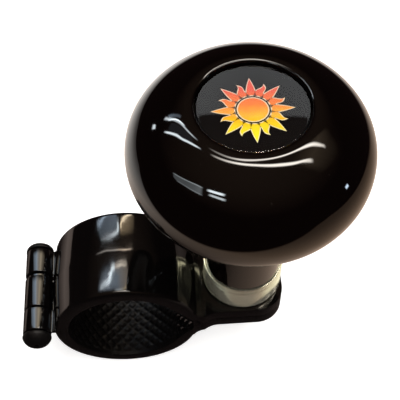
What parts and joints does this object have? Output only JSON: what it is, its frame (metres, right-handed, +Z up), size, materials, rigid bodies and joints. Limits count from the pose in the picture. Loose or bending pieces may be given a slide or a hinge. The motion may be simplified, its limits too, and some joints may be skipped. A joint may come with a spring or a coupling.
{
  "type": "steering wheel spinner knob",
  "caption": "Mushroom-shaped spinner knob on a ball bearing and turned spindle, carried by a hinged two-part clamp that closes round a steering wheel rim.",
  "frame": {"origin": "centre of the rim clamp's bore at mid width, on the plane where the two clamp halves part", "axes": "+Y along the bore, which is along the steering wheel's rim; +X from the bore towards the knob; +Z up along the knob's own axis"},
  "size_m": [0.0935, 0.06, 0.0997],
  "materials": {
    "black_cast_paint": "gloss black over a zinc casting",
    "knob_gloss_black": "polished",
    "zinc_plate": "bright zinc plate, lightly yellow",
    "bearing_steel": "ground",
    "spring_steel": "oiled black",
    "white_nylon": "moulded",
    "bush_bronze": "sintered bronze",
    "emblem_print": "printed rays in warm colours on black",
    "clear_dome": "clear domed resin"
  },
  "bodies": {
    "clamp": {"clamp_upper": "black_cast_paint", "hinge_pin": "black_cast_paint", "hinge_pin_cap": "black_cast_paint", "spindle": "zinc_plate", "spindle_washer": "zinc_plate", "spindle_nut": "zinc_plate", "nut_locking_ring": "white_nylon", "thrust_washer": "white_nylon", "bearing_inner_race": "bearing_steel"},
    "jaw": {"clamp_lower": "black_cast_paint"},
    "bolt": {"clamp_bolt": "zinc_plate", "bolt_washer": "zinc_plate", "bolt_spring_washer": "zinc_plate"},
    "cage": {"bearing_cage": "white_nylon", "bearing_ball_1": "bearing_steel", "bearing_ball_2": "bearing_steel", "bearing_ball_3": "bearing_steel", "bearing_ball_4": "bearing_steel", "bearing_ball_5": "bearing_steel", "bearing_ball_6": "bearing_steel", "bearing_ball_7": "bearing_steel"},
    "knob": {"knob_shell": "knob_gloss_black", "bearing_outer_race": "bearing_steel", "bearing_shield_upper": "bearing_steel", "bearing_shield_lower": "bearing_steel", "bearing_circlip": "spring_steel", "neck_bush": "bush_bronze", "emblem_disc": "emblem_print", "emblem_dome": "clear_dome"}
  },
  "joints": [
    {"name": "clamp_hinge", "type": "hinge", "parent": "clamp", "child": "jaw", "pos_m": [-0.0254, 0, 0], "axis": [0, 1, 0], "range_deg": [0, 100]},
    {"name": "bolt_slide", "type": "slide", "parent": "jaw", "child": "bolt", "axis": [0, 0, -1], "range_m": [0, 0.02]},
    {"name": "knob_spin", "type": "hinge", "parent": "clamp", "child": "knob", "pos_m": [0.034, 0, 0], "axis": [0, 0, 1], "continuous": true},
    {"name": "cage_spin", "type": "hinge", "parent": "clamp", "child": "cage", "pos_m": [0.034, 0, 0], "axis": [0, 0, 1], "continuous": true}
  ],
  "couplings": [
    {"joint": "cage_spin", "follows": "knob_spin", "ratio": 0.632}
  ]
}
